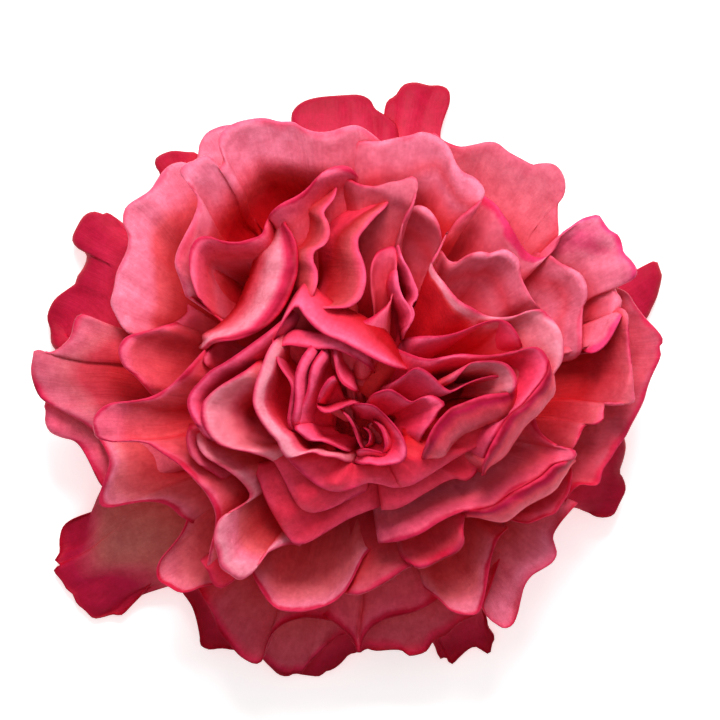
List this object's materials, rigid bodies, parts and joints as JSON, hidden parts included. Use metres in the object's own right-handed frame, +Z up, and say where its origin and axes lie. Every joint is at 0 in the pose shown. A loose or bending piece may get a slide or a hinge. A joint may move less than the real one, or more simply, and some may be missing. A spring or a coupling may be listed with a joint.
{
  "type": "rose bloom",
  "caption": "Ruffled garden rose bloom, coral pink with crimson petal edges, picked and laid heart up on its green calyx.",
  "frame": {"origin": "on the surface the bloom lies on, below the middle of its outline seen from above", "axes": "+Z up out of the bloom's heart, +Y to the side of the bloom away from its heart, which is the picture's upper side, +X to the picture's right"},
  "size_m": [0.1152, 0.1087, 0.0508],
  "materials": {
    "petal": "soft matt petal, paler in the middle, crimson at the rims",
    "calyx": "matt green leaf skin"
  },
  "bodies": {
    "root": {"bloom": "petal", "calyx": "calyx"}
  },
  "joints": []
}
